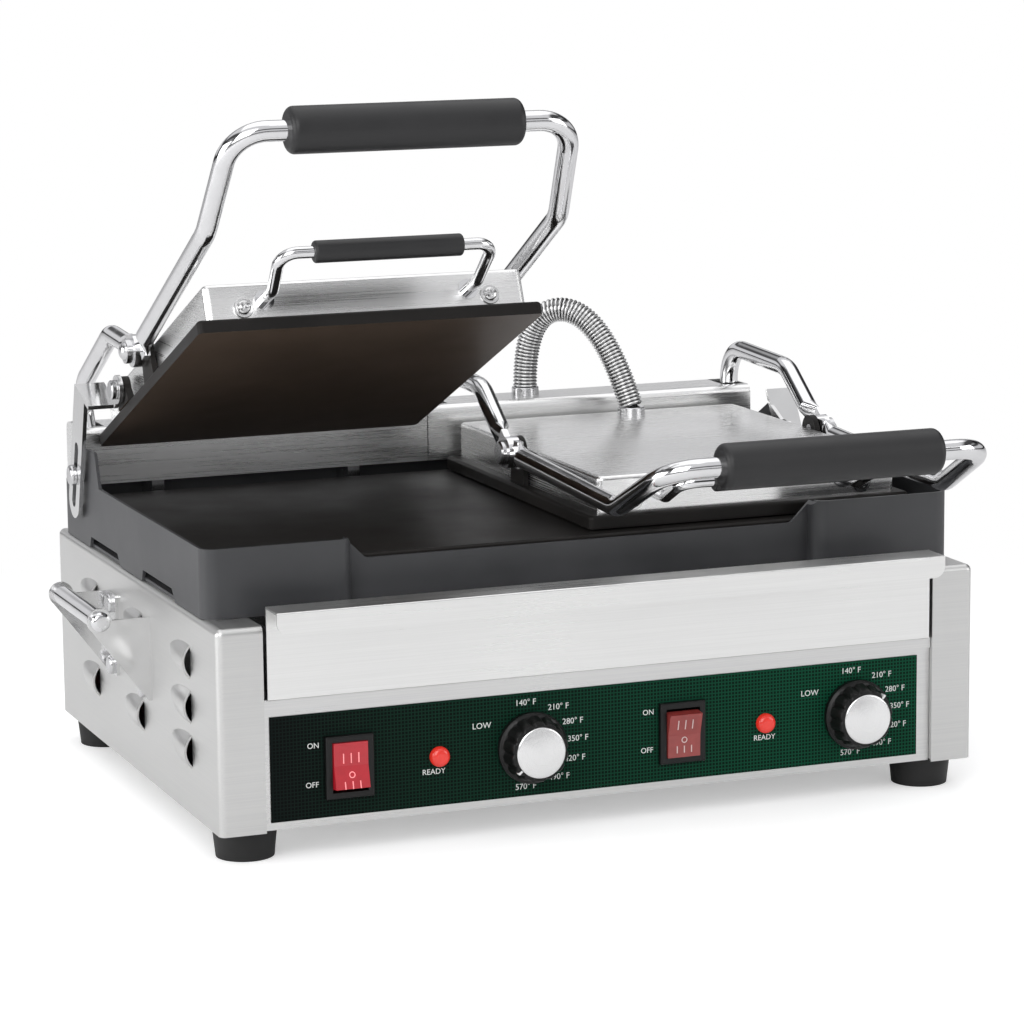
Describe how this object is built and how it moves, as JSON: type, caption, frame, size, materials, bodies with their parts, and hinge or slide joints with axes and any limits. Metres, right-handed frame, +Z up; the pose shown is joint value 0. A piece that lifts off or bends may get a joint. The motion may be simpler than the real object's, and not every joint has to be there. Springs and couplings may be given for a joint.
{
  "type": "double contact grill",
  "caption": "Countertop contact grill with two hinged press lids on handle frames, a lower plate in a splash pan, dial and rocker controls, and a slide-out drip tray.",
  "frame": {"origin": "centre of the bounding box on the plane that the feet stand on, with the left lid open and the right lid closed", "axes": "+X to the right seen from the controls, +Y from the controls to the back, +Z up"},
  "size_m": [0.554, 0.4284, 0.4277],
  "materials": {
    "stainless": "brushed",
    "bright_metal": "polished",
    "rubber": "matte",
    "label_print": "satin",
    "enamel": "speckled satin",
    "cast_plate": "seasoned",
    "element_sheath": "heat stained",
    "galvanised": "dull",
    "black_plastic": "matte",
    "red_lens": "gloss",
    "conduit_steel": "ribbed",
    "red_plastic": "gloss",
    "spun_aluminium": "spun",
    "rod_steel": "satin"
  },
  "bodies": {
    "housing": {"left_side_panel": "stainless", "right_side_panel": "stainless", "back_panel": "stainless", "bottom_panel": "stainless", "tray_shelf": "stainless", "control_panel": "stainless", "carry_brackets": "stainless", "carry_tubes": "stainless", "left_hinge_cover": "stainless", "right_hinge_cover": "stainless", "carry_bolts": "bright_metal", "foot_screws": "bright_metal", "slot_bolts": "bright_metal", "conduit_base_fittings": "bright_metal", "feet": "rubber", "control_label": "label_print", "splash_pan": "enamel", "lower_plate": "cast_plate", "lower_elements": "element_sheath", "hinge_bearings": "galvanised", "counterbalance_springs": "galvanised", "cable_gland": "black_plastic", "switch_bezels": "black_plastic", "thermostats": "black_plastic", "lamps": "red_lens", "left_conduit": "conduit_steel", "right_conduit": "conduit_steel"},
    "tray": {"drip_tray": "stainless"},
    "left_rocker": {"left_rocker": "red_plastic"},
    "left_knob": {"left_knob": "black_plastic", "left_knob_cap": "spun_aluminium"},
    "left_arm": {"left_handle_frame": "rod_steel", "left_rear_arms": "rod_steel", "left_tilt_bolts": "bright_metal", "left_grip": "black_plastic"},
    "left_lid": {"left_upper_plate": "cast_plate", "left_lid_cover": "stainless", "left_upper_element": "element_sheath", "left_aux_rod": "rod_steel", "left_aux_sleeve": "black_plastic", "left_lid_fitting": "bright_metal", "left_guide_bolt": "bright_metal"},
    "left_guide_link": {"left_guide_link": "stainless"},
    "right_rocker": {"right_rocker": "red_plastic"},
    "right_knob": {"right_knob": "black_plastic", "right_knob_cap": "spun_aluminium"},
    "right_arm": {"right_handle_frame": "rod_steel", "right_rear_arms": "rod_steel", "right_tilt_bolts": "bright_metal", "right_grip": "black_plastic"},
    "right_lid": {"right_upper_plate": "cast_plate", "right_lid_cover": "stainless", "right_upper_element": "element_sheath", "right_aux_rod": "rod_steel", "right_aux_sleeve": "black_plastic", "right_lid_fitting": "bright_metal", "right_guide_bolt": "bright_metal"},
    "right_guide_link": {"right_guide_link": "stainless"}
  },
  "joints": [
    {"name": "left_arm_hinge", "type": "hinge", "parent": "housing", "child": "left_arm", "pos_m": [-0.11625, 0.17425, 0.196], "axis": [-1, 0, 0], "range_deg": [-32, 0], "deforming": ["left_conduit"]},
    {"name": "left_lid_tilt", "type": "hinge", "parent": "left_arm", "child": "left_lid", "pos_m": [-0.11625, 0.05441, 0.2703], "axis": [-1, 0, 0], "range_deg": [-0.1, 8.5]},
    {"name": "left_link_swing", "type": "hinge", "parent": "left_lid", "child": "left_guide_link", "pos_m": [-0.22425, 0.09826, 0.24077], "axis": [-1, 0, 0], "range_deg": [-19.7, 0.1]},
    {"name": "right_arm_hinge", "type": "hinge", "parent": "housing", "child": "right_arm", "pos_m": [0.11625, 0.17425, 0.196], "axis": [-1, 0, 0], "range_deg": [0, 32], "deforming": ["right_conduit"]},
    {"name": "right_lid_tilt", "type": "hinge", "parent": "right_arm", "child": "right_lid", "pos_m": [0.11625, 0.03325, 0.1955], "axis": [-1, 0, 0], "range_deg": [-8.5, 0.1]},
    {"name": "right_link_swing", "type": "hinge", "parent": "right_lid", "child": "right_guide_link", "pos_m": [0.22425, 0.08525, 0.186], "axis": [-1, 0, 0], "range_deg": [-0.1, 19.7]},
    {"name": "tray_slide", "type": "slide", "parent": "housing", "child": "tray", "axis": [0, -1, 0], "range_m": [0, 0.2]},
    {"name": "left_rocker_tilt", "type": "hinge", "parent": "housing", "child": "left_rocker", "pos_m": [-0.1605, -0.14135, 0.052], "axis": [-1, 0, 0], "range_deg": [-16, 0]},
    {"name": "left_knob_turn", "type": "hinge", "parent": "housing", "child": "left_knob", "pos_m": [-0.0485, -0.14485, 0.052], "axis": [0, -1, 0], "range_deg": [0, 237]},
    {"name": "right_rocker_tilt", "type": "hinge", "parent": "housing", "child": "right_rocker", "pos_m": [0.047, -0.14135, 0.052], "axis": [-1, 0, 0], "range_deg": [0, 16]},
    {"name": "right_knob_turn", "type": "hinge", "parent": "housing", "child": "right_knob", "pos_m": [0.1615, -0.14485, 0.052], "axis": [0, -1, 0], "range_deg": [0, 237]}
  ],
  "couplings": [
    {"joint": "left_lid_tilt", "follows": "left_arm_hinge", "ratio": -0.2625},
    {"joint": "left_link_swing", "follows": "left_arm_hinge", "ratio": 0.6125},
    {"joint": "right_lid_tilt", "follows": "right_arm_hinge", "ratio": -0.2625},
    {"joint": "right_link_swing", "follows": "right_arm_hinge", "ratio": 0.6125}
  ]
}
